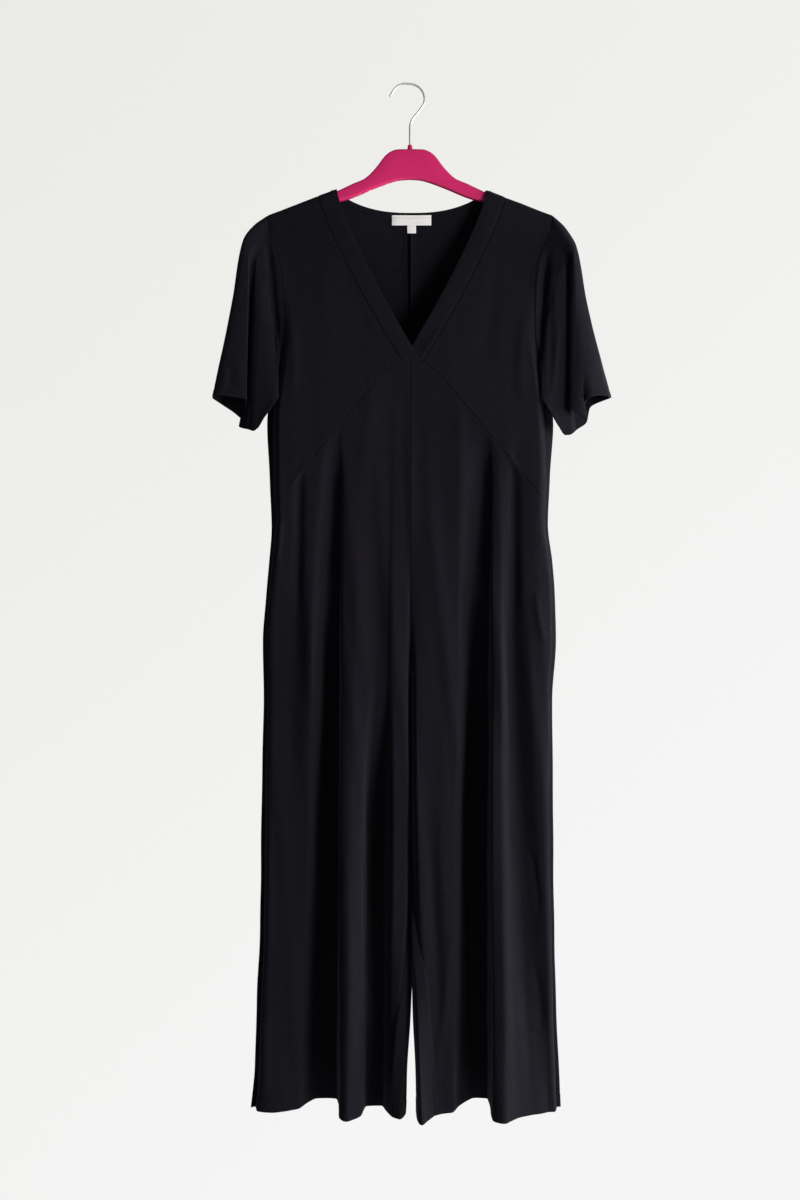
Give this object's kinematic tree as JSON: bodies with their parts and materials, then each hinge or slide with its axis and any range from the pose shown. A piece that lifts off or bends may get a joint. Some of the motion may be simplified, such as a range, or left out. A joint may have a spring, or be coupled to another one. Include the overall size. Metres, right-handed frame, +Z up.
{
  "type": "jumpsuit on hanger",
  "caption": "V-neck wide-leg jersey jumpsuit with short flared sleeves, slanting bust seams and side pockets, hanging on a moulded hanger by its wire hook.",
  "frame": {"origin": "the inner underside of the hook's top, where the hanger rests on its nail", "axes": "+X to the viewer's right, the garment's front faces -Y, +Z up"},
  "size_m": [0.579, 0.107, 1.4876],
  "materials": {
    "jersey": "matte jersey",
    "tape": "woven",
    "plastic": "satin",
    "steel": "polished"
  },
  "bodies": {
    "root": {"bodice_front_left": "jersey", "bodice_front_right": "jersey", "leg_front_left": "jersey", "leg_front_right": "jersey", "back_left": "jersey", "back_right": "jersey", "sleeve_left": "jersey", "sleeve_right": "jersey", "neckband_front_left": "jersey", "neckband_front_right": "jersey", "neckband_back": "jersey", "pocket_outer_left": "jersey", "pocket_inner_left": "jersey", "pocket_outer_right": "jersey", "pocket_inner_right": "jersey", "neck_label": "tape", "size_tab": "tape", "hanger_body": "plastic", "hanger_hook": "steel"}
  },
  "joints": []
}
